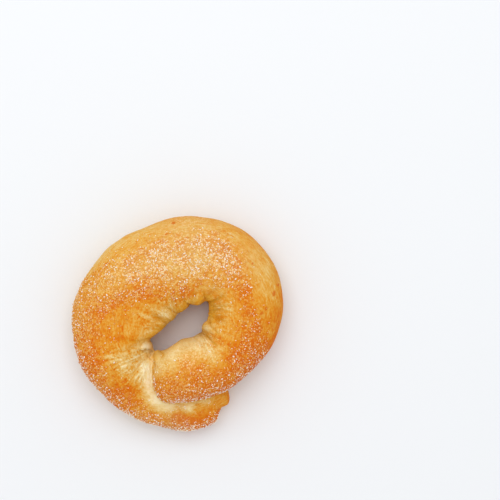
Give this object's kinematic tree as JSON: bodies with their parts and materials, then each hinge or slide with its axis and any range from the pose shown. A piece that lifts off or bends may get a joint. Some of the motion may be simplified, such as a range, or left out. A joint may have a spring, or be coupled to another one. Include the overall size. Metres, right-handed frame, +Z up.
{
  "type": "kalach",
  "caption": "Ring-shaped sweet bread: a rope of dough laid round a hole, one end lapped over the other, with coarse sugar on top.",
  "frame": {"origin": "middle of the ring's box, at the height of the surface that it lies on", "axes": "+Z up through the hole, away from the flat base; seen from above with +Y up the page, the lapped end lies at the lower left of centre"},
  "size_m": [0.1066, 0.1086, 0.0382],
  "materials": {
    "crust": "baked golden bread crust, satin where bare, rough with sugar crystals on top",
    "sugar": "glossy translucent sugar crystals"
  },
  "bodies": {
    "root": {"kalach": "crust"}
  },
  "joints": []
}
